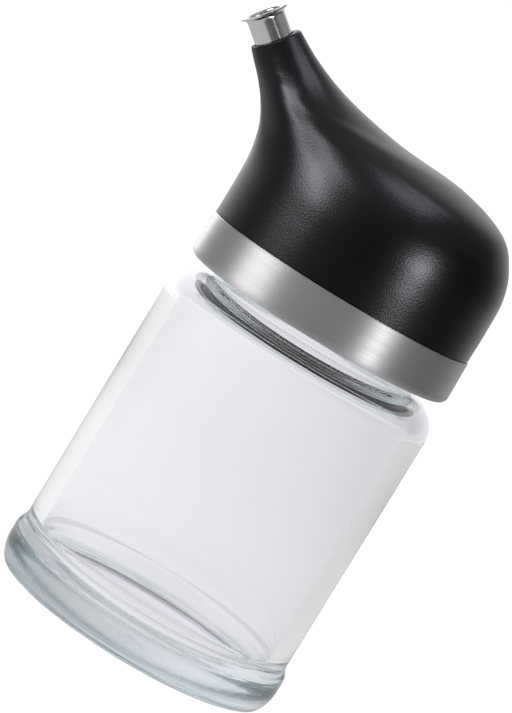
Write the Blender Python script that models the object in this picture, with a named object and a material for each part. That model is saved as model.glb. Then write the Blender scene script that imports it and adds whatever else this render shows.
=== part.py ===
"""Soy sauce cruet, in metres, +Z up.

A clear glass jar with a bulged heel stands on a narrow contact ring. A black
cap closes its neck: the cap's skirt hangs around the neck inside a brushed
steel band, and above the band the cap rises into a smooth body that is drawn
out to one side, towards -X, into a slanting nozzle. A flanged steel tube sits
in the nozzle's end.

The origin lies on the ground below the middle of the whole outline. The spout
reaches further out than the jar, so the jar's axis stands at x = AXIS_X.
"""
import bpy
import bmesh
from math import cos, sin, pi, radians
from mathutils import Matrix, Vector

# Driving dimensions.
GAP = 0.0003                 # clearance between pieces that touch

BODY_R = 0.0330              # jar, outside of the straight wall
WALL = 0.0039                # jar, wall thickness
HEEL_R = 0.0341              # jar, outside of the bulged heel
HEEL_LOW, HEEL_HIGH, HEEL_END = 0.0060, 0.0083, 0.0117
RING_OUT, RING_IN = 0.03115, 0.0283      # flat contact ring under the jar
PUNT = 0.0017                # rise of the base inside the contact ring
FLOOR_Z = 0.0046             # inner floor
FLOOR_WIDE = 0.0160          # its rounded corner, inwards from the wall
FLOOR_HIGH = 0.0085          # and upwards from the floor
SHOULDER_Z = 0.0690          # where the wall starts to turn in
SHOULDER_R = 0.00765         # outer radius of the shoulder's bend
SHOULDER_IN_Z, SHOULDER_IN_R = 0.0689, 0.0040   # the same inside
NECK_R = 0.0249              # neck, outside
NECK_BORE = 0.0230           # neck, inside
NECK_FILLET, NECK_FILLET_IN = 0.00045, 0.0018
NECK_RIM = 0.0007            # rounding of the neck's rim
NECK_TOP = 0.0885

BAND_Z0, BAND_Z1 = 0.0787, 0.0890
BAND_R_TOP, BAND_R_LOW = 0.0320, 0.0322
BAND_WALL = 0.0011
BAND_LIP_R = 0.0290          # the band's lower edge is turned in to here
BAND_ROUND = 0.0018

CAP_Z = BAND_Z1 + GAP
PLUG_DEPTH = 0.0050          # the plug reaches this far into the neck
NOZZLE_R = 0.00555
NOZZLE_TILT = radians(51.0)  # nozzle axis from upright, towards -X
NOZZLE_X, NOZZLE_Z = -0.04033, 0.12743   # middle of the nozzle's end face
NOZZLE_EDGE = 0.0007

TUBE_R = 0.00415
TUBE_BORE = 0.0036
TUBE_DROP = 0.00045          # tube axis below the nozzle axis
TUBE_OUT = 0.0062            # from the nozzle's end face to the flange's rim
TUBE_IN = 0.0070             # length held inside the nozzle
FLANGE_R = 0.00517
FLANGE_THICK = 0.0004

JAR_STEPS, CAP_STEPS, BAND_STEPS, TUBE_STEPS = 56, 56, 56, 28

for old in list(bpy.data.objects):
    bpy.data.objects.remove(old, do_unlink=True)

NOZZLE_AXIS = Vector((-sin(NOZZLE_TILT), 0.0, cos(NOZZLE_TILT)))
NOZZLE_UP = Vector((cos(NOZZLE_TILT), 0.0, sin(NOZZLE_TILT)))
FLANGE_MID = (Vector((NOZZLE_X, 0.0, NOZZLE_Z)) - TUBE_DROP * NOZZLE_UP
              + TUBE_OUT * NOZZLE_AXIS)
SPOUT_REACH = -(FLANGE_MID - FLANGE_R * NOZZLE_UP).x
AXIS_X = (SPOUT_REACH - HEEL_R) / 2


def material(name, colour, roughness, metallic=0.0, transmission=0.0):
    mat = bpy.data.materials.new(name)
    mat.use_nodes = True
    shader = mat.node_tree.nodes["Principled BSDF"]
    shader.inputs["Base Color"].default_value = (*colour, 1.0)
    shader.inputs["Roughness"].default_value = roughness
    shader.inputs["Metallic"].default_value = metallic
    shader.inputs["Transmission Weight"].default_value = transmission
    return mat


def arc(centre, radii, start, end, steps):
    """Points on an ellipse in the (radius, height) plane, angles in degrees."""
    rr, rz = radii if isinstance(radii, tuple) else (radii, radii)
    return [(centre[0] + rr * cos(radians(start + (end - start) * i / steps)),
             centre[1] + rz * sin(radians(start + (end - start) * i / steps)))
            for i in range(steps + 1)]


def finish(name, bm, mat, matrix, sharp=35.0):
    """Turn a bmesh into a named, smooth shaded object."""
    bmesh.ops.remove_doubles(bm, verts=bm.verts, dist=1e-6)
    bmesh.ops.recalc_face_normals(bm, faces=bm.faces)
    if bm.calc_volume(signed=True) < 0:
        bmesh.ops.reverse_faces(bm, faces=bm.faces)
    mesh = bpy.data.meshes.new(name)
    bm.to_mesh(mesh)
    bm.free()
    mesh.materials.append(mat)
    mesh.shade_smooth()
    mesh.set_sharp_from_angle(angle=radians(sharp))
    ob = bpy.data.objects.new(name, mesh)
    bpy.context.scene.collection.objects.link(ob)
    ob.matrix_world = matrix
    return ob


def turned(name, profile, closed, steps, mat, matrix, sharp=35.0):
    """Spin a (radius, height) profile about its own Z axis."""
    bm = bmesh.new()
    verts = [bm.verts.new((r, 0.0, z)) for r, z in profile]
    pairs = list(zip(verts, verts[1:]))
    if closed:
        pairs.append((verts[-1], verts[0]))
    edges = [bm.edges.new(p) for p in pairs]
    bmesh.ops.spin(bm, geom=verts + edges, cent=(0, 0, 0), axis=(0, 0, 1),
                   angle=2 * pi, steps=steps, use_merge=True)
    return finish(name, bm, mat, matrix, sharp)


glass = material("clear_glass", (0.93, 0.95, 0.96), 0.02, transmission=1.0)
steel = material("brushed_steel", (0.60, 0.59, 0.59), 0.30, metallic=1.0)
bright = material("polished_steel", (0.68, 0.67, 0.67), 0.12, metallic=1.0)
black = material("black_plastic", (0.012, 0.012, 0.014), 0.38)

UPRIGHT = Matrix.Translation((AXIS_X, 0.0, 0.0))

# Jar: the profile runs from the middle of the base, out over the contact ring,
# up the outside, over the rim and down the inside to the middle of the floor.
inner_r = BODY_R - WALL
mid_r = BODY_R - SHOULDER_R
shoulder_top = SHOULDER_Z + SHOULDER_R
inner_top = SHOULDER_IN_Z + SHOULDER_IN_R
jar_profile = (
    [(RING_IN * t, PUNT * (1 - t * t) ** 0.5 * (1 - 0.35 * t))
     for t in (0.0, 0.4, 0.75, 0.93)]
    + [(RING_IN, 0.0), (RING_OUT, 0.0)]
    + arc((RING_OUT, HEEL_LOW), (HEEL_R - RING_OUT, HEEL_LOW), -60, 0, 4)
    + [(BODY_R + (HEEL_R - BODY_R) * (0.5 + 0.5 * cos(pi * i / 5)),
        HEEL_HIGH + (HEEL_END - HEEL_HIGH) * i / 5) for i in range(6)]
    + arc((mid_r, SHOULDER_Z), SHOULDER_R, 0, 90, 8)
    + arc((NECK_R + NECK_FILLET, shoulder_top + NECK_FILLET), NECK_FILLET, 270, 180, 2)
    + arc((NECK_R - NECK_RIM, NECK_TOP - NECK_RIM), NECK_RIM, 0, 90, 2)
    + arc((NECK_BORE + NECK_RIM, NECK_TOP - NECK_RIM), NECK_RIM, 90, 180, 2)
    + arc((NECK_BORE + NECK_FILLET_IN, inner_top + NECK_FILLET_IN),
          NECK_FILLET_IN, 180, 270, 3)
    + arc((inner_r - SHOULDER_IN_R, SHOULDER_IN_Z), SHOULDER_IN_R, 90, 0, 5)
    + arc((inner_r - FLOOR_WIDE, FLOOR_Z + FLOOR_HIGH), (FLOOR_WIDE, FLOOR_HIGH), 0, -90, 7)
    + [(0.0, FLOOR_Z)])
turned("jar", jar_profile, False, JAR_STEPS, glass, UPRIGHT)

# Band: a thin sleeve, rounded in at its lower edge.
band_in_top, band_in_low = BAND_R_TOP - BAND_WALL, BAND_R_LOW - BAND_WALL
band_profile = (
    arc((BAND_R_TOP - 0.0003, BAND_Z1 - 0.0003), 0.0003, 90, 0, 2)
    + arc((BAND_R_LOW - BAND_ROUND, BAND_Z0 + BAND_ROUND), BAND_ROUND, 0, -90, 4)
    + [(BAND_LIP_R, BAND_Z0), (BAND_LIP_R, BAND_Z0 + BAND_WALL)]
    + arc((BAND_R_LOW - BAND_ROUND, BAND_Z0 + BAND_ROUND), BAND_ROUND - BAND_WALL, -90, 0, 2)
    + [(band_in_top, BAND_Z1)])
turned("band", band_profile, True, BAND_STEPS, steel, UPRIGHT)


# Cap: cross-sections fan out from the level ring above the band to the tilted
# end face of the nozzle. Each one spans from a point on the lower outline, on
# the spout's side, to a point on the upper outline, and has a half width and a
# taper, which narrows it towards the spout as an egg is narrowed.
#   lower x, lower z, upper x, upper z, half width, taper
STATIONS = (
    (-0.03175, 0.0893, 0.03175, 0.0893, 0.03175, 0.00),
    (-0.03175, 0.0975, 0.03175, 0.0975, 0.03175, 0.00),
    (-0.03215, 0.1040, 0.03130, 0.1045, 0.03130, 0.01),
    (-0.03370, 0.1100, 0.02900, 0.1106, 0.02940, 0.07),
    (-0.03610, 0.1143, 0.02380, 0.1164, 0.02548, 0.15),
    (-0.03840, 0.1173, 0.01200, 0.1202, 0.01893, 0.15),
    (-0.04020, 0.1193, -0.00500, 0.1216, 0.01324, 0.12),
    (-0.04170, 0.1208, -0.01950, 0.1243, 0.00938, 0.07),
    (-0.04295, 0.1221, -0.02950, 0.1278, 0.00710, 0.05),
    (-0.04384, 0.12315, -0.03683, 0.13172, 0.00555, 0.00),
)


def station(t):
    """Smooth curve through the stations, t from 0 to their count less one."""
    i = min(int(t), len(STATIONS) - 2)
    u = t - i
    p0, p1, p2, p3 = (STATIONS[min(max(k, 0), len(STATIONS) - 1)]
                      for k in (i - 1, i, i + 1, i + 2))
    return [0.5 * (2 * b + (c - a) * u + (2 * a - 5 * b + 4 * c - d) * u * u
                   + (3 * b - a - 3 * c + d) * u ** 3)
            for a, b, c, d in zip(p0, p1, p2, p3)]


def section(values, steps):
    lx, lz, ux, uz, half, taper = values
    mid = Vector(((lx + ux) / 2, 0.0, (lz + uz) / 2))
    along = Vector(((ux - lx) / 2, 0.0, (uz - lz) / 2))
    ring = []
    for k in range(steps):
        a = 2 * pi * k / steps
        ring.append(mid + along * cos(a)
                    + Vector((0.0, half * sin(a) * (1 + taper * cos(a)), 0.0)))
    return ring


def bridge(bm, rings):
    """Faces between consecutive vertex rings; the first and last stay open."""
    for low, high in zip(rings, rings[1:]):
        n = len(low)
        for k in range(n):
            bm.faces.new((low[k], low[(k + 1) % n], high[(k + 1) % n], high[k]))


def ring_at(centre, across, radius, steps, drop=0.0):
    """A circle whose first point lies along the direction `across`."""
    return [centre + across * (radius * cos(2 * pi * k / steps) - drop)
            + Vector((0.0, radius * sin(2 * pi * k / steps), 0.0))
            for k in range(steps)]


CAP_ROWS = 30
last = len(STATIONS) - 1
outer = [section(station(last * j / CAP_ROWS), CAP_STEPS) for j in range(CAP_ROWS)]
face_mid = Vector((NOZZLE_X, 0.0, NOZZLE_Z))
socket_r = TUBE_R + GAP
nozzle = []
for a in (20, 55, 90):       # rounded edge of the end face
    r = NOZZLE_R - NOZZLE_EDGE * (1 - cos(radians(a)))
    back = NOZZLE_EDGE * (1 - sin(radians(a)))
    nozzle.append(ring_at(face_mid - NOZZLE_AXIS * back, NOZZLE_UP, r, CAP_STEPS))
nozzle.append(ring_at(face_mid, NOZZLE_UP, socket_r, CAP_STEPS, TUBE_DROP))
nozzle.append(ring_at(face_mid - NOZZLE_AXIS * (TUBE_IN + GAP), NOZZLE_UP, socket_r,
                      CAP_STEPS, TUBE_DROP))

level = Vector((1.0, 0.0, 0.0))
skirt_out = BAND_R_TOP - BAND_WALL - GAP
skirt_in = NECK_R + 0.0006
skirt_z = BAND_Z0 + BAND_WALL + GAP
under = [ring_at(Vector((0, 0, z)), level, r, CAP_STEPS) for r, z in (
    (NECK_BORE - 0.0006, NECK_TOP - PLUG_DEPTH),
    (NECK_BORE - 0.0006, NECK_TOP + GAP),
    (skirt_in, NECK_TOP + GAP),
    (skirt_in, skirt_z),
    (BAND_R_LOW - BAND_ROUND - 0.0004, skirt_z),
    (skirt_out, skirt_z + 0.0012),
    (skirt_out, CAP_Z))]

bm = bmesh.new()
rings = [[bm.verts.new(p) for p in ring] for ring in under + outer + nozzle]
bridge(bm, rings)
bm.faces.new(list(reversed(rings[0])))
bm.faces.new(rings[-1])
finish("cap", bm, black, UPRIGHT, 40.0)

# Spout tip: a thin tube with a flared rim, open at both ends.
flare = FLANGE_R - TUBE_R
tip_profile = (
    [(TUBE_BORE, -TUBE_IN), (TUBE_R, -TUBE_IN)]
    + arc((FLANGE_R, TUBE_OUT - FLANGE_THICK - flare), (flare, flare), 180, 90, 4)
    + [(FLANGE_R, TUBE_OUT)]
    + arc((TUBE_BORE + flare, TUBE_OUT - 0.0006), (flare, 0.0006), 90, 180, 3))
tilt = Matrix((NOZZLE_UP, Vector((0, 1, 0)), NOZZLE_AXIS)).transposed().to_4x4()
tip_matrix = (UPRIGHT @ Matrix.Translation(face_mid - TUBE_DROP * NOZZLE_UP) @ tilt)
turned("spout_tip", tip_profile, True, TUBE_STEPS, bright, tip_matrix)
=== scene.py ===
"""Soy sauce cruet dressed for its picture, in metres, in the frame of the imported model."""
import bpy
import bmesh
from math import cos, sin, pi, radians
from mathutils import Matrix, Vector


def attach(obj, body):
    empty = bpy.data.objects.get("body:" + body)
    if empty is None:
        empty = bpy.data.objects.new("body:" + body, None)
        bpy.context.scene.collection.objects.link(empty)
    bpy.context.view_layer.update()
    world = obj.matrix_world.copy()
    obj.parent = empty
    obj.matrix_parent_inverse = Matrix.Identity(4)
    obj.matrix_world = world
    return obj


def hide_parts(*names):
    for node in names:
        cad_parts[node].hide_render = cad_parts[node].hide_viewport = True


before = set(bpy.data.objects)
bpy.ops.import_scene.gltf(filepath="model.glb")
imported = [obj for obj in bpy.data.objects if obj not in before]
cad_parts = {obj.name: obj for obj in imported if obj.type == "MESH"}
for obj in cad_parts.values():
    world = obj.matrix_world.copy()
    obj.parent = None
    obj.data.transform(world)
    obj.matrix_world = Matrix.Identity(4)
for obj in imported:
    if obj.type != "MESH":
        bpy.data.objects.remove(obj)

scene = bpy.context.scene
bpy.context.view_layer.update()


# Camera. A long lens looks a little down at the bottle and is rolled, so that
# the bottle leans across the frame. The spout points left and slightly nearer.
SPOUT_TURN = radians(10.5)     # spout, from square to the view
LOOK_DOWN = radians(6.095)
ROLL = radians(31.34)
DISTANCE = 0.6882
JAR_X = 0.0072926              # the jar's axis; the spout reaches out on -X
AIM_TO_SPOUT, AIM_HEIGHT = 0.0080, 0.06625
FRAME_WIDTH, FRAME_HEIGHT = 512, 713
FOCAL_PIXELS = 3168.4
SENSOR_HEIGHT = 36.0           # millimetres

turn = Matrix.Rotation(-SPOUT_TURN, 3, "Z")
away = turn @ Vector((0.0, cos(LOOK_DOWN), -sin(LOOK_DOWN)))
right = turn @ Vector((1.0, 0.0, 0.0))
upward = turn @ Vector((0.0, sin(LOOK_DOWN), cos(LOOK_DOWN)))
aim = turn @ Vector((-AIM_TO_SPOUT, 0.0, 0.0)) + Vector((JAR_X, 0.0, AIM_HEIGHT))
across = cos(ROLL) * right + sin(ROLL) * upward
along = -sin(ROLL) * right + cos(ROLL) * upward
camera = bpy.data.objects.new("camera", bpy.data.cameras.new("camera"))
scene.collection.objects.link(camera)
camera.matrix_world = Matrix.Translation(aim - away * DISTANCE) @ Matrix(
    (across, along, -away)).transposed().to_4x4()
camera.data.sensor_fit = "VERTICAL"
camera.data.sensor_height = SENSOR_HEIGHT
camera.data.sensor_width = SENSOR_HEIGHT * FRAME_WIDTH / FRAME_HEIGHT
camera.data.lens = SENSOR_HEIGHT * FOCAL_PIXELS / FRAME_HEIGHT
camera.data.clip_start = 0.01
scene.camera = camera
scene.view_settings.view_transform = "Standard"


# Studio. A white table and a white backdrop in a dim grey room. The glass takes
# its light from these two alone; the plastic and the steel each have softboxes
# of their own, because a real softbox is flagged off what it shouldn't reach.
LAMP_REACH, LAMP_AIM_HEIGHT = 0.6, 0.08
NEUTRAL, PALE_VIOLET, PALE_BLUE = (0.97, 0.97, 1.0), (0.94, 0.92, 1.0), (0.86, 0.88, 1.0)
lit_plastic = bpy.data.collections.new("lit_plastic")
lit_steel = bpy.data.collections.new("lit_steel")
lit_tip = bpy.data.collections.new("lit_tip")


def softbox(name, azimuth, height, size, watts, pieces, lean=0.0, colour=NEUTRAL):
    """An area light on the jar; degrees from the camera, left below 0, top leant right."""
    lamp = bpy.data.lights.new(name, "AREA")
    lamp.shape = "RECTANGLE"
    lamp.size, lamp.size_y = size
    lamp.energy = watts
    lamp.color = colour
    ob = bpy.data.objects.new(name, lamp)
    scene.collection.objects.link(ob)
    side, up = radians(azimuth - 90.0) - SPOUT_TURN, radians(height)
    out = Vector((cos(side) * cos(up), sin(side) * cos(up), sin(up)))
    ob.location = Vector((JAR_X, 0.0, LAMP_AIM_HEIGHT)) + out * LAMP_REACH
    facing = (-out).to_track_quat("-Z", "Y").to_matrix()
    ob.rotation_euler = (facing @ Matrix.Rotation(radians(-lean), 3, "Z")).to_euler()
    ob.light_linking.receiver_collection = pieces


softbox("plastic_left", -52.0, 25.0, (0.19, 0.38), 2.15, lit_plastic, 12.0, PALE_VIOLET)
softbox("plastic_low", -62.5, 9.5, (0.30, 0.15), 1.15, lit_plastic, 0.0, PALE_VIOLET)
softbox("plastic_right", 43.5, 9.5, (0.15, 0.18), 1.85, lit_plastic, 0.0, PALE_VIOLET)
softbox("plastic_above", 109.0, 77.5, (0.20, 0.12), 0.28, lit_plastic, 109.0, PALE_BLUE)
softbox("plastic_ahead", 27.0, 71.0, (0.28, 0.24), 0.85, lit_plastic, 27.0, PALE_BLUE)
softbox("steel_left", -64.0, 8.0, (0.32, 0.30), 1.8, lit_steel)
softbox("steel_right", 44.6, 8.0, (0.10, 0.30), 1.40, lit_steel)
softbox("steel_back", -150.0, 8.0, (0.16, 0.30), 0.4, lit_steel)
softbox("tip_right", 37.0, 20.0, (0.08, 0.12), 0.04, lit_tip)


def feed(tree, value, inlet):
    """Sets an input to a plain number, or links it to another node's output."""
    if isinstance(value, float):
        inlet.default_value = value
    else:
        tree.links.new(value, inlet)


def joined(tree, operation, one, other=0.0):
    """A sum, product or other simple step on one or two values."""
    both = tree.nodes.new("ShaderNodeMath")
    both.operation = operation
    feed(tree, one, both.inputs[0])
    feed(tree, other, both.inputs[1])
    return both.outputs["Value"]


def measured(tree, operation, vector, other=(0.0, 0.0, 0.0)):
    """A vector's length, its distance from a point or its reach in a direction."""
    gauge = tree.nodes.new("ShaderNodeVectorMath")
    gauge.operation = operation
    gauge.inputs[1].default_value = other
    tree.links.new(vector, gauge.inputs[0])
    return gauge.outputs["Value"]


def ranged(tree, value, low, high, low_value, high_value, curve="LINEAR"):
    """Brings a value between low and high to another range, flat beyond both ends."""
    change = tree.nodes.new("ShaderNodeMapRange")
    change.interpolation_type = curve
    for name, end in (("From Min", low), ("From Max", high),
                      ("To Min", low_value), ("To Max", high_value)):
        change.inputs[name].default_value = end
    tree.links.new(value, change.inputs["Value"])
    return change.outputs["Result"]


def eased(tree, vector, direction, low, high, low_value, high_value):
    """A smooth change of value with the vector's reach along a direction."""
    reach = measured(tree, "DOT_PRODUCT", vector, direction)
    return ranged(tree, reach, low, high, low_value, high_value, "SMOOTHSTEP")


def by_ray(tree, mirrored, through, seen):
    """One strength for mirror rays, one through glass and one for the camera."""
    path = tree.nodes.new("ShaderNodeLightPath")
    strength = mirrored
    for flag, other in (("Is Transmission Ray", through), ("Is Camera Ray", seen)):
        pick = tree.nodes.new("ShaderNodeMix")
        tree.links.new(path.outputs[flag], pick.inputs["Factor"])
        feed(tree, strength, pick.inputs["A"])
        feed(tree, other, pick.inputs["B"])
        strength = pick.outputs["Result"]
    return strength


# The room mirrored in plastic and steel is dim but for the backdrop and a pale
# ceiling; the glass sees it brighter, fading from left to right.
ROOM_DIM, BACKDROP_FULL, ROOM_CEILING, ROOM_SEEN = 0.17, 1.0, 0.26, 1.06
UP = Vector((0.0, 0.0, 1.0))
back_flat = Vector((away.x, away.y, 0.0)).normalized()
room = bpy.data.worlds.new("room")
room.use_nodes = True
scene.world = room
tree = room.node_tree
aimed = tree.nodes.new("ShaderNodeTexCoord").outputs["Generated"]
mirrored = joined(tree, "ADD",
                  eased(tree, aimed, back_flat, 0.45, 0.95, ROOM_DIM, BACKDROP_FULL),
                  eased(tree, aimed, UP, 0.45, 0.70, 0.0, ROOM_CEILING))
mirrored = joined(tree, "MULTIPLY", mirrored,
                  eased(tree, aimed, right, -0.60, 0.60, 1.30, 0.70))
through = joined(tree, "MULTIPLY",
                 eased(tree, aimed, UP, 0.02, 0.14, 0.95, 0.77),
                 eased(tree, aimed, UP, 0.45, 0.80, 1.0, 1.20))
through = joined(tree, "MULTIPLY", through,
                 eased(tree, aimed, right, -0.50, 0.50, 1.25, 0.85))
background = tree.nodes["Background"]
background.inputs["Color"].default_value = (0.97, 0.975, 1.0, 1.0)
tree.links.new(by_ray(tree, mirrored, through, ROOM_SEEN), background.inputs["Strength"])

# The white paper on the table glows by itself, so that it has no shadows but
# for a faint painted shadow where the jar's ring stands on it. Its glow is
# painted light: in reflections it is brighter near the jar, far behind it and
# on the left, and seen through the glass it dims towards the right.
TABLE_HALF, TABLE_DROP, TABLE_SEEN = 3.0, 0.0002, 1.05
CONTACT_R = 0.0305             # middle of the ring's shadow
bm = bmesh.new()
bmesh.ops.create_grid(bm, x_segments=1, y_segments=1, size=TABLE_HALF)
bmesh.ops.translate(bm, verts=bm.verts, vec=(0.0, 0.0, -TABLE_DROP))
mesh = bpy.data.meshes.new("table_top")
bm.to_mesh(mesh)
bm.free()
table_top = bpy.data.objects.new("table_top", mesh)
scene.collection.objects.link(table_top)
paper = bpy.data.materials.new("white_paper")
paper.use_nodes = True
tree = paper.node_tree
shader = tree.nodes["Principled BSDF"]
shader.inputs["Base Color"].default_value = (0.20, 0.20, 0.20, 1.0)
shader.inputs["Roughness"].default_value = 1.0
shader.inputs["Specular IOR Level"].default_value = 0.0
shader.inputs["Emission Color"].default_value = (1.0, 1.0, 1.0, 1.0)
place = tree.nodes.new("ShaderNodeTexCoord").outputs["Object"]
# Painted light: the paper's glow in reflections, brighter near the jar, far behind it and on
# the left.
mirrored = joined(tree, "ADD",
                  ranged(tree, measured(tree, "LENGTH", place), 0.26, 0.42, 0.48, 0.10),
                  eased(tree, place, back_flat, 0.25, 1.0, 0.0, 0.84))
mirrored = joined(tree, "MULTIPLY", mirrored,
                  eased(tree, place, right, -0.30, 0.30, 1.25, 0.75))
# Painted shadow round the jar's ring, and painted shade that dims the paper to the right as
# seen through the glass.
off_ring = joined(tree, "ABSOLUTE", joined(
    tree, "SUBTRACT", measured(tree, "DISTANCE", place, (JAR_X, 0.0, 0.0)), CONTACT_R))
through = joined(tree, "MULTIPLY",
                 ranged(tree, off_ring, 0.0015, 0.0080, 0.88, 1.0),
                 eased(tree, place, right, -0.10, 0.18, 0.93, 0.68))
tree.links.new(by_ray(tree, mirrored, through, TABLE_SEEN), shader.inputs["Emission Strength"])
mesh.materials.append(paper)

# Thick clear glass passes light on many times before it lets it go.
LIGHT_BOUNCES = 40
scene.cycles.max_bounces = LIGHT_BOUNCES
scene.cycles.transmission_bounces = LIGHT_BOUNCES
scene.cycles.glossy_bounces = LIGHT_BOUNCES


# Glass jar. Pressed clear glass with a thick wall, a bulged heel that stands
# on a narrow ring, a rounded shoulder and a short neck for the cap.
BODY_R, WALL, HEEL_R = 0.0330, 0.0039, 0.0341
HEEL_LOW, HEEL_HIGH, HEEL_END = 0.0060, 0.0083, 0.0117
RING_OUT, RING_IN = 0.03115, 0.0283
PUNT, PUNT_FLATTEN = 0.0017, 0.35          # the shallow hollow under the base
FLOOR_Z, FLOOR_WIDE, FLOOR_HIGH = 0.0046, 0.0160, 0.0085
SHOULDER_Z, SHOULDER_R = 0.0690, 0.00765
SHOULDER_IN_Z, SHOULDER_IN_R = 0.0689, 0.0040
NECK_R, NECK_BORE, NECK_TOP, NECK_RIM = 0.0249, 0.0230, 0.0885, 0.0007
NECK_FILLET, NECK_FILLET_IN = 0.00045, 0.0018
PUNT_STEPS, HEEL_STEPS = 12, 32
LONG_RUN, GUARD = 0.0015, 0.0002


def arc(r, z, radii, start, end, steps):
    """Points of an ellipse round (r, z) in the turning plane, angles in degrees."""
    wide, high = radii if isinstance(radii, tuple) else (radii, radii)
    return [(r + wide * cos(radians(start + (end - start) * i / steps)),
             z + high * sin(radians(start + (end - start) * i / steps)))
            for i in range(steps + 1)]


def finished(name, bm, material, node, sharp=35.0):
    """Makes the named object from a bmesh, in the CAD node's place."""
    bmesh.ops.remove_doubles(bm, verts=bm.verts, dist=1e-6)
    bmesh.ops.recalc_face_normals(bm, faces=bm.faces)
    if bm.calc_volume(signed=True) < 0:
        bmesh.ops.reverse_faces(bm, faces=bm.faces)
    mesh = bpy.data.meshes.new(name)
    bm.to_mesh(mesh)
    bm.free()
    mesh.materials.append(material)
    mesh.shade_smooth()
    mesh.set_sharp_from_angle(angle=radians(sharp))
    ob = bpy.data.objects.new(name, mesh)
    scene.collection.objects.link(ob)
    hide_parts(node)
    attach(ob, "root")
    return ob


def guarded(profile):
    """Adds a point close to each end of a long straight run, to keep it flat."""
    points = []
    for one, other in zip(profile, profile[1:]):
        a, b = Vector(one), Vector(other)
        points.append(a)
        if (b - a).length > LONG_RUN:
            step = (b - a).normalized() * GUARD
            points += [a + step, b - step]
    return points + [Vector(profile[-1])]


def turned(profile, steps, placing, closed=False):
    """A bmesh spun from a (radius, height) profile, then set in its place."""
    bm = bmesh.new()
    verts = [bm.verts.new((r, 0.0, z)) for r, z in guarded(profile)]
    edges = [bm.edges.new(pair) for pair in zip(verts, verts[1:])]
    if closed:
        edges.append(bm.edges.new((verts[-1], verts[0])))
    bmesh.ops.spin(bm, geom=verts + edges, cent=(0, 0, 0), axis=(0, 0, 1),
                   angle=2 * pi, steps=steps, use_merge=True)
    bmesh.ops.transform(bm, matrix=placing, verts=bm.verts)
    return bm


def material_nodes(name):
    """A new material, its node tree and its Principled shader."""
    made = bpy.data.materials.new(name)
    made.use_nodes = True
    return made, made.node_tree, made.node_tree.nodes["Principled BSDF"]


def clouds(tree, vector, scale, detail):
    """A noise value over the surface."""
    noise = tree.nodes.new("ShaderNodeTexNoise")
    noise.inputs["Scale"].default_value = scale
    noise.inputs["Detail"].default_value = detail
    tree.links.new(vector, noise.inputs["Vector"])
    return noise.outputs["Fac"]


def scaled(tree, vector, factor, shift=(0.0, 0.0, 0.0)):
    """A vector times a factor on each axis, then shifted."""
    node = tree.nodes.new("ShaderNodeVectorMath")
    node.operation = "MULTIPLY_ADD"
    node.inputs[1].default_value = factor
    node.inputs[2].default_value = shift
    tree.links.new(vector, node.inputs[0])
    return node.outputs["Vector"]


def bumped(tree, shader, height, strength, distance):
    """Gives a shader fine relief from a height value."""
    bump = tree.nodes.new("ShaderNodeBump")
    bump.inputs["Strength"].default_value = strength
    bump.inputs["Distance"].default_value = distance
    tree.links.new(height, bump.inputs["Height"])
    tree.links.new(bump.outputs["Normal"], shader.inputs["Normal"])


upright = Matrix.Translation((JAR_X, 0.0, 0.0))
inner_r = BODY_R - WALL
inner_top = SHOULDER_IN_Z + SHOULDER_IN_R
shoulder_top = SHOULDER_Z + SHOULDER_R
hollow = [(RING_IN * i / PUNT_STEPS,
           PUNT * (1 - (i / PUNT_STEPS) ** 2) ** 0.5 * (1 - PUNT_FLATTEN * i / PUNT_STEPS))
          for i in range(PUNT_STEPS)]
heel_bend = [(BODY_R + (HEEL_R - BODY_R) * (0.5 + 0.5 * cos(pi * i / HEEL_STEPS)),
              HEEL_HIGH + (HEEL_END - HEEL_HIGH) * i / HEEL_STEPS)
             for i in range(HEEL_STEPS + 1)]
jar_profile = (
    hollow + [(RING_IN, 0.0), (RING_OUT, 0.0)]
    + arc(RING_OUT, HEEL_LOW, (HEEL_R - RING_OUT, HEEL_LOW), -70, 0, 32)
    + heel_bend
    + arc(BODY_R - SHOULDER_R, SHOULDER_Z, SHOULDER_R, 0, 90, 56)
    + arc(NECK_R + NECK_FILLET, shoulder_top + NECK_FILLET, NECK_FILLET, 270, 180, 12)
    + arc(NECK_R - NECK_RIM, NECK_TOP - NECK_RIM, NECK_RIM, 0, 90, 6)
    + arc(NECK_BORE + NECK_RIM, NECK_TOP - NECK_RIM, NECK_RIM, 90, 180, 6)
    + arc(NECK_BORE + NECK_FILLET_IN, inner_top + NECK_FILLET_IN, NECK_FILLET_IN, 180, 270, 28)
    + arc(inner_r - SHOULDER_IN_R, SHOULDER_IN_Z, SHOULDER_IN_R, 90, 0, 44)
    + arc(inner_r - FLOOR_WIDE, FLOOR_Z + FLOOR_HIGH, (FLOOR_WIDE, FLOOR_HIGH), 0, -90, 56)
    + [(0.0, FLOOR_Z)])

clear_glass, tree, shader = material_nodes("clear_glass")
shader.inputs["Metallic"].default_value = 0.0
shader.inputs["Transmission Weight"].default_value = 1.0
shader.inputs["IOR"].default_value = 1.50
place = tree.nodes.new("ShaderNodeTexCoord").outputs["Object"]
split = tree.nodes.new("ShaderNodeSeparateXYZ")
tree.links.new(place, split.inputs["Vector"])
level = split.outputs["Z"]

# Painted shade: the foot of the heel is painted a little greener and darker, in streaks round
# it.
from_axis = measured(tree, "LENGTH", scaled(tree, place, (1.0, 1.0, 0.0), (-JAR_X, 0.0, 0.0)))
streaks = clouds(tree, scaled(tree, place, (60.0, 60.0, 1500.0)), 1.0, 1.0)
foot = joined(tree, "MULTIPLY",
              ranged(tree, level, 0.0020, 0.0042, 1.0, 0.0),
              ranged(tree, from_axis, 0.0300, 0.0312, 0.0, 1.0))
foot = joined(tree, "MULTIPLY", foot, ranged(tree, streaks, 0.35, 0.65, 0.2, 1.0))
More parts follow.
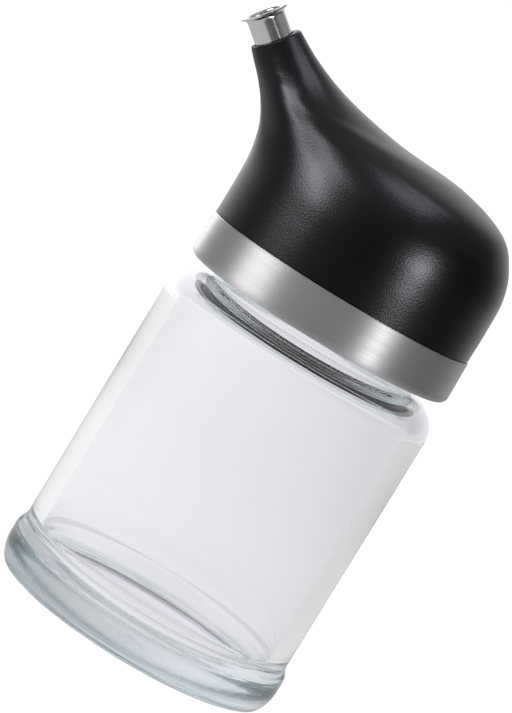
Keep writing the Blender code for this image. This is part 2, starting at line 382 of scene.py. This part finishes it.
# This mix paints that shade into the glass's colour.
painted_foot_shade = tree.nodes.new("ShaderNodeMix")
painted_foot_shade.data_type = "RGBA"
painted_foot_shade.inputs["A"].default_value = (0.950, 0.944, 0.964, 1.0)
painted_foot_shade.inputs["B"].default_value = (0.38, 0.47, 0.48, 1.0)
tree.links.new(foot, painted_foot_shade.inputs["Factor"])
tree.links.new(painted_foot_shade.outputs["Result"], shader.inputs["Base Color"])

# Pressed glass is slightly wavy, and stippled and rippled under the base.
waves = clouds(tree, place, 70.0, 1.0)
ripples = joined(tree, "MULTIPLY", clouds(tree, place, 420.0, 2.0),
                 ranged(tree, level, 0.0065, 0.0120, 2.0, 0.0))
bumped(tree, shader, joined(tree, "ADD", waves, ripples), 0.03, 0.0004)
roughness = joined(tree, "ADD", ranged(tree, waves, 0.0, 1.0, 0.0, 0.03),
                   ranged(tree, level, 0.0035, 0.0075, 0.12, 0.0))
tree.links.new(roughness, shader.inputs["Roughness"])
tint = tree.nodes.new("ShaderNodeVolumeAbsorption")
tint.inputs["Color"].default_value = (0.40, 0.60, 0.64, 1.0)
tint.inputs["Density"].default_value = 4.0
tree.links.new(tint.outputs["Volume"], tree.nodes["Material Output"].inputs["Volume"])

jar = finished("glass_jar", turned(jar_profile, 160, upright), clear_glass, "jar")


# Steel band. A thin stainless sleeve round the cap's skirt, its lower edge
# turned in, brushed all the way round on a lathe.
BAND_Z0, BAND_Z1, BAND_WALL, BAND_EDGE = 0.0787, 0.0890, 0.0011, 0.0003
BAND_R_TOP, BAND_R_LOW, BAND_LIP_R, BAND_ROUND = 0.0320, 0.0322, 0.0290, 0.0018

band_profile = (
    arc(BAND_R_TOP - BAND_EDGE, BAND_Z1 - BAND_EDGE, BAND_EDGE, 90, 0, 4)
    + arc(BAND_R_LOW - BAND_ROUND, BAND_Z0 + BAND_ROUND, BAND_ROUND, 0, -90, 16)
    + [(BAND_LIP_R, BAND_Z0), (BAND_LIP_R, BAND_Z0 + BAND_WALL)]
    + arc(BAND_R_LOW - BAND_ROUND, BAND_Z0 + BAND_ROUND, BAND_ROUND - BAND_WALL, -90, 0, 6)
    + [(BAND_R_TOP - BAND_WALL, BAND_Z1)])


def socket(group, name, kind, way, value=None):
    """A named input or output on a node group."""
    made = group.interface.new_socket(name=name, in_out=way, socket_type=kind)
    if value is not None:
        made.default_value = value


# Fine marks follow the coordinates they are given, and a slow cloud makes the
# finish vary; both only come out as varying values.
surface_marks = bpy.data.node_groups.new("surface_marks", "ShaderNodeTree")
socket(surface_marks, "Vector", "NodeSocketVector", "INPUT")
socket(surface_marks, "Line Scale", "NodeSocketFloat", "INPUT", 1.0)
socket(surface_marks, "Line Detail", "NodeSocketFloat", "INPUT", 3.0)
socket(surface_marks, "Cloud Scale", "NodeSocketFloat", "INPUT", 60.0)
socket(surface_marks, "Low Roughness", "NodeSocketFloat", "INPUT", 0.2)
socket(surface_marks, "High Roughness", "NodeSocketFloat", "INPUT", 0.4)
socket(surface_marks, "Height", "NodeSocketFloat", "OUTPUT")
socket(surface_marks, "Roughness", "NodeSocketFloat", "OUTPUT")
nodes, links = surface_marks.nodes, surface_marks.links
inlet = nodes.new("NodeGroupInput")
outlet = nodes.new("NodeGroupOutput")
lines = nodes.new("ShaderNodeTexNoise")
lines.inputs["Roughness"].default_value = 0.65
cloud = nodes.new("ShaderNodeTexNoise")
cloud.inputs["Detail"].default_value = 4.0
finish_range = nodes.new("ShaderNodeMapRange")
finish_range.inputs["From Min"].default_value = 0.3
finish_range.inputs["From Max"].default_value = 0.7
links.new(inlet.outputs["Vector"], lines.inputs["Vector"])
links.new(inlet.outputs["Line Scale"], lines.inputs["Scale"])
links.new(inlet.outputs["Line Detail"], lines.inputs["Detail"])
links.new(inlet.outputs["Vector"], cloud.inputs["Vector"])
links.new(inlet.outputs["Cloud Scale"], cloud.inputs["Scale"])
links.new(cloud.outputs["Fac"], finish_range.inputs["Value"])
links.new(inlet.outputs["Low Roughness"], finish_range.inputs["To Min"])
links.new(inlet.outputs["High Roughness"], finish_range.inputs["To Max"])
links.new(lines.outputs["Fac"], outlet.inputs["Height"])
links.new(finish_range.outputs["Result"], outlet.inputs["Roughness"])


def marked(tree, shader, scale, lines, clouding, rough, relief, turned_by=(0.0, 0.0, 0.0)):
    """Joins the marks to a shader; lines are (scale, detail), relief (strength, distance)."""
    place = tree.nodes.new("ShaderNodeTexCoord")
    mapping = tree.nodes.new("ShaderNodeMapping")
    mapping.inputs["Rotation"].default_value = turned_by
    mapping.inputs["Scale"].default_value = scale
    marks = tree.nodes.new("ShaderNodeGroup")
    marks.node_tree = surface_marks
    for name, value in (("Line Scale", lines[0]), ("Line Detail", lines[1]),
                        ("Cloud Scale", clouding),
                        ("Low Roughness", rough[0]), ("High Roughness", rough[1])):
        marks.inputs[name].default_value = value
    tree.links.new(place.outputs["Object"], mapping.inputs["Vector"])
    tree.links.new(mapping.outputs["Vector"], marks.inputs["Vector"])
    tree.links.new(marks.outputs["Roughness"], shader.inputs["Roughness"])
    bumped(tree, shader, marks.outputs["Height"], *relief)


brushed_steel, tree, shader = material_nodes("brushed_steel")
shader.inputs["Base Color"].default_value = (0.60, 0.59, 0.59, 1.0)
shader.inputs["Metallic"].default_value = 1.0
shader.inputs["Anisotropic"].default_value = 0.9
shader.inputs["Anisotropic Rotation"].default_value = 0.25
tangent = tree.nodes.new("ShaderNodeTangent")
tangent.direction_type = "RADIAL"
tangent.axis = "Z"
tree.links.new(tangent.outputs["Tangent"], shader.inputs["Tangent"])
marked(tree, shader, (40.0, 40.0, 9000.0), (1.0, 3.0), 0.5, (0.52, 0.58), (0.03, 0.00002))

band = finished("steel_band", turned(band_profile, 128, upright, closed=True),
                brushed_steel, "band")
lit_steel.objects.link(band)


# Cap and spout. One moulding of black satin plastic: a plug in the neck, a
# skirt inside the band, and a body drawn out to one side into a slant nozzle.
GAP = 0.0003
CAP_Z = BAND_Z1 + GAP
PLUG_DEPTH, PLUG_SLACK, LIP_SLACK, SKIRT_CHAMFER = 0.0050, 0.0006, 0.0004, 0.0012
NOZZLE_R, NOZZLE_EDGE = 0.00555, 0.0007
NOZZLE_TILT = radians(51.0)
NOZZLE_MID = Vector((-0.04033, 0.0, 0.12743))
NOZZLE_AXIS = Vector((-sin(NOZZLE_TILT), 0.0, cos(NOZZLE_TILT)))
NOZZLE_UP = Vector((cos(NOZZLE_TILT), 0.0, sin(NOZZLE_TILT)))
TUBE_R, TUBE_DROP, TUBE_IN = 0.00415, 0.00045, 0.0070
# lower x, lower z, upper x, upper z, half width, taper towards the spout
STATIONS = (
    (-0.03175, 0.0893, 0.03175, 0.0893, 0.03175, 0.00),
    (-0.03175, 0.0975, 0.03175, 0.0975, 0.03175, 0.00),
    (-0.03215, 0.1040, 0.03130, 0.1045, 0.03130, 0.01),
    (-0.03370, 0.1100, 0.02900, 0.1106, 0.02940, 0.07),
    (-0.03610, 0.1143, 0.02380, 0.1164, 0.02548, 0.15),
    (-0.03840, 0.1173, 0.01200, 0.1202, 0.01893, 0.15),
    (-0.04020, 0.1193, -0.00500, 0.1216, 0.01324, 0.12),
    (-0.04170, 0.1208, -0.01950, 0.1243, 0.00938, 0.07),
    (-0.04295, 0.1221, -0.02950, 0.1278, 0.00710, 0.05),
    (-0.04384, 0.12315, -0.03683, 0.13172, 0.00555, 0.00))
CAP_ROWS, CAP_SIDES = 96, 128


def station(t):
    """Smooth curve through the stations, t from 0 to their count less one."""
    i = min(int(t), len(STATIONS) - 2)
    u = t - i
    four = (STATIONS[min(max(k, 0), len(STATIONS) - 1)] for k in (i - 1, i, i + 1, i + 2))
    return [0.5 * (2 * b + (c - a) * u + (2 * a - 5 * b + 4 * c - d) * u * u
                   + (3 * b - a - 3 * c + d) * u ** 3) for a, b, c, d in zip(*four)]


def level_ring(radius, height):
    """A ring round the jar's axis: its middle, forward reach, half width and taper."""
    return Vector((0, 0, height)), Vector((radius, 0, 0)), radius, 0.0


def slant_ring(back, radius, drop=0.0):
    """A ring square to the nozzle, so far back from its mouth."""
    middle = NOZZLE_MID - NOZZLE_AXIS * back - NOZZLE_UP * drop
    return middle, NOZZLE_UP * radius, radius, 0.0


def body_ring(t):
    """A ring of the smooth body between the stations."""
    lx, lz, ux, uz, half, taper = station(t)
    return (Vector(((lx + ux) / 2, 0, (lz + uz) / 2)),
            Vector(((ux - lx) / 2, 0, (uz - lz) / 2)), half, taper)


skirt_z = BAND_Z0 + BAND_WALL + GAP
skirt_out = BAND_R_TOP - BAND_WALL - GAP
rings = [level_ring(NECK_BORE - PLUG_SLACK, NECK_TOP - PLUG_DEPTH),
         level_ring(NECK_BORE - PLUG_SLACK, NECK_TOP + GAP),
         level_ring(NECK_R + PLUG_SLACK, NECK_TOP + GAP),
         level_ring(NECK_R + PLUG_SLACK, skirt_z),
         level_ring(BAND_R_LOW - BAND_ROUND - LIP_SLACK, skirt_z),
         level_ring(skirt_out, skirt_z + SKIRT_CHAMFER),
         level_ring(skirt_out, CAP_Z)]
rings += [body_ring((len(STATIONS) - 1) * i / CAP_ROWS) for i in range(CAP_ROWS)]
rings += [slant_ring(NOZZLE_EDGE * (1 - sin(radians(a))),
                     NOZZLE_R - NOZZLE_EDGE * (1 - cos(radians(a))))
          for a in range(0, 91, 15)]
rings += [slant_ring(0.0, TUBE_R + GAP, TUBE_DROP),
          slant_ring(TUBE_IN + GAP, TUBE_R + GAP, TUBE_DROP)]

bm = bmesh.new()
ahead = bm.verts.layers.float.new("ahead")
beside = bm.verts.layers.float.new("beside")
loop = bmesh.ops.create_circle(bm, cap_ends=False, radius=1.0, segments=CAP_SIDES)["verts"]
for v in loop:
    v[ahead], v[beside] = v.co.x, v.co.y
edges = list(bm.edges)
for i, (middle, reach, half, taper) in enumerate(rings):
    if i:
        grown = bmesh.ops.extrude_edge_only(bm, edges=edges)["geom"]
        loop = [g for g in grown if isinstance(g, bmesh.types.BMVert)]
        newest = set(loop)
        edges = [g for g in grown if isinstance(g, bmesh.types.BMEdge)
                 and g.verts[0] in newest and g.verts[1] in newest]
    for v in loop:
        v.co = middle + reach * v[ahead] + Vector(
            (0, half * v[beside] * (1 + taper * v[ahead]), 0))
bmesh.ops.holes_fill(bm, edges=[e for e in bm.edges if e.is_boundary], sides=CAP_SIDES)
bmesh.ops.transform(bm, matrix=upright, verts=bm.verts)

black_plastic, tree, shader = material_nodes("black_plastic")
shader.inputs["Base Color"].default_value = (0.0012, 0.0010, 0.0022, 1.0)
shader.inputs["Specular IOR Level"].default_value = 0.30
marked(tree, shader, (1.0, 1.0, 1.0), (3000.0, 0.0), 55.0, (0.26, 0.31), (0.5, 0.00004))

cap = finished("black_cap", bm, black_plastic, "cap", 40.0)
lit_plastic.objects.link(cap)


# Pouring tip. A short stainless tube pushed into the nozzle, its mouth rolled
# out to a thin flat flange and polished.
FLANGE_R, FLANGE_THICK, MOUTH_ROUND = 0.00517, 0.0004, 0.0006
TUBE_BORE, TUBE_OUT = 0.0036, 0.0062
flare = FLANGE_R - TUBE_R
tip_profile = (
    [(TUBE_BORE, -TUBE_IN), (TUBE_R, -TUBE_IN)]
    + arc(FLANGE_R, TUBE_OUT - FLANGE_THICK - flare, flare, 180, 90, 12)
    + [(FLANGE_R, TUBE_OUT)]
    + arc(TUBE_BORE + flare, TUBE_OUT - MOUTH_ROUND, (flare, MOUTH_ROUND), 90, 180, 8))
slant = Matrix((NOZZLE_UP, Vector((0, 1, 0)), NOZZLE_AXIS)).transposed().to_4x4()
tip_placing = upright @ Matrix.Translation(NOZZLE_MID - TUBE_DROP * NOZZLE_UP) @ slant

polished_steel, tree, shader = material_nodes("polished_steel")
shader.inputs["Base Color"].default_value = (0.68, 0.67, 0.67, 1.0)
shader.inputs["Metallic"].default_value = 1.0
marked(tree, shader, (60.0, 60.0, 9000.0), (1.0, 3.0), 0.5, (0.08, 0.16), (0.05, 0.00002),
       turned_by=(0.0, NOZZLE_TILT, 0.0))

tip = finished("steel_tip", turned(tip_profile, 96, tip_placing, closed=True),
               polished_steel, "spout_tip")
lit_steel.objects.link(tip)
lit_tip.objects.link(tip)
